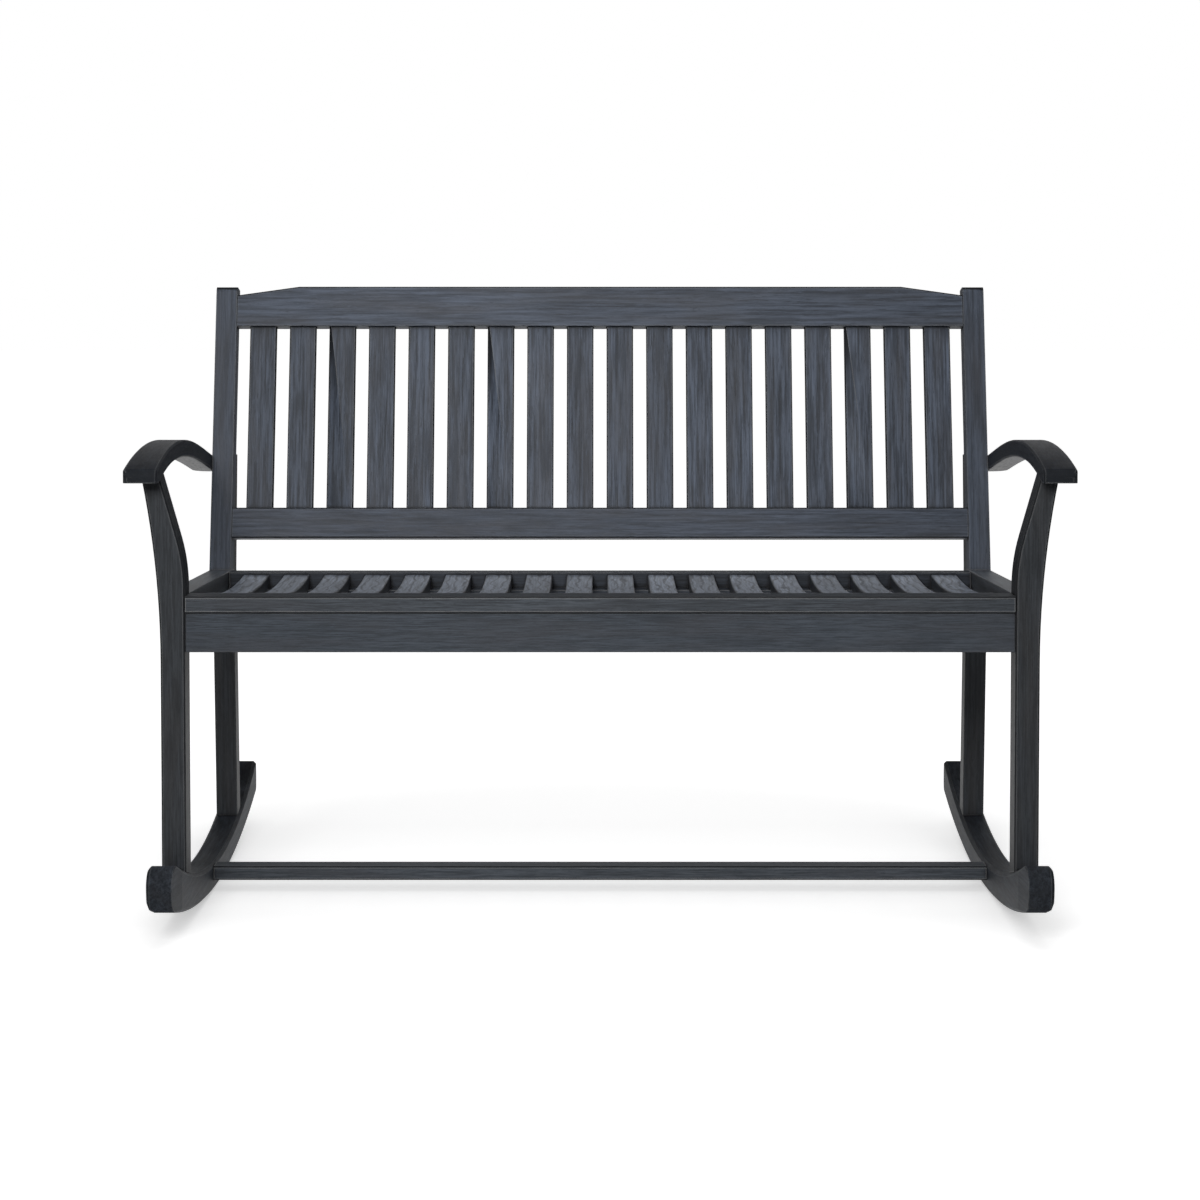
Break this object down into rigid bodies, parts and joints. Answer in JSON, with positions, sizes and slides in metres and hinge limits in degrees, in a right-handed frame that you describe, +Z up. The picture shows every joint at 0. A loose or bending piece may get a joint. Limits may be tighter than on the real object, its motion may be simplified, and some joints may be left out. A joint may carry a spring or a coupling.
{
  "type": "rocking bench",
  "caption": "Two-seat slatted wooden rocking bench with wavy armrests, a leaning slat back and curved rockers joined by a stretcher.",
  "frame": {"origin": "on the floor under the middle of the bench, midway between the front and rear ends of the rockers", "axes": "+X to the right as seen from the front, +Y to the rear, +Z up"},
  "size_m": [1.3018, 0.88, 0.8917],
  "materials": {
    "frame_wood": "slate-grey stain over straight-grained hardwood, satin, edges worn lighter",
    "arm_wood": "slate-grey stain over straight-grained hardwood, satin, edges worn lighter",
    "back_wood": "slate-grey stain over straight-grained hardwood, satin, edges worn lighter",
    "back_slat_wood": "slate-grey stain over straight-grained hardwood, satin, edges worn lighter",
    "seat_slat_wood": "slate-grey stain over straight-grained hardwood, satin, edges worn lighter",
    "seat_board_wood": "slate-grey stain over straight-grained hardwood, satin, edges worn lighter",
    "pin_wood": "stained hardwood, end grain"
  },
  "bodies": {
    "root": {"rocker_left": "frame_wood", "rocker_right": "frame_wood", "front_leg_left": "frame_wood", "front_leg_right": "frame_wood", "rear_leg_left": "frame_wood", "rear_leg_right": "frame_wood", "side_rail_left": "frame_wood", "side_rail_right": "frame_wood", "stretcher": "frame_wood", "front_apron": "frame_wood", "rear_seat_rail": "frame_wood", "slat_ledger_front": "frame_wood", "slat_ledger_rear": "frame_wood", "seat_bearer": "frame_wood", "armrest_left": "arm_wood", "armrest_right": "arm_wood", "back_post_left": "back_wood", "back_post_right": "back_wood", "back_top_rail": "back_wood", "back_bottom_rail": "back_wood", "back_slat_01": "back_slat_wood", "back_slat_02": "back_slat_wood", "back_slat_03": "back_slat_wood", "back_slat_04": "back_slat_wood", "back_slat_05": "back_slat_wood", "back_slat_06": "back_slat_wood", "back_slat_07": "back_slat_wood", "back_slat_08": "back_slat_wood", "back_slat_09": "back_slat_wood", "back_slat_10": "back_slat_wood", "back_slat_11": "back_slat_wood", "back_slat_12": "back_slat_wood", "back_slat_13": "back_slat_wood", "back_slat_14": "back_slat_wood", "back_slat_15": "back_slat_wood", "back_slat_16": "back_slat_wood", "back_slat_17": "back_slat_wood", "back_slat_18": "back_slat_wood", "seat_slat_01": "seat_slat_wood", "seat_slat_02": "seat_slat_wood", "seat_slat_03": "seat_slat_wood", "seat_slat_04": "seat_slat_wood", "seat_slat_05": "seat_slat_wood", "seat_slat_06": "seat_slat_wood", "seat_slat_07": "seat_slat_wood", "seat_slat_08": "seat_slat_wood", "seat_slat_09": "seat_slat_wood", "seat_slat_10": "seat_slat_wood", "seat_slat_11": "seat_slat_wood", "seat_slat_12": "seat_slat_wood", "seat_slat_13": "seat_slat_wood", "seat_slat_14": "seat_slat_wood", "seat_slat_15": "seat_slat_wood", "seat_slat_16": "seat_slat_wood", "seat_slat_17": "seat_slat_wood", "seat_slat_18": "seat_slat_wood", "seat_front_board": "seat_board_wood", "joint_pins": "pin_wood"}
  },
  "joints": []
}
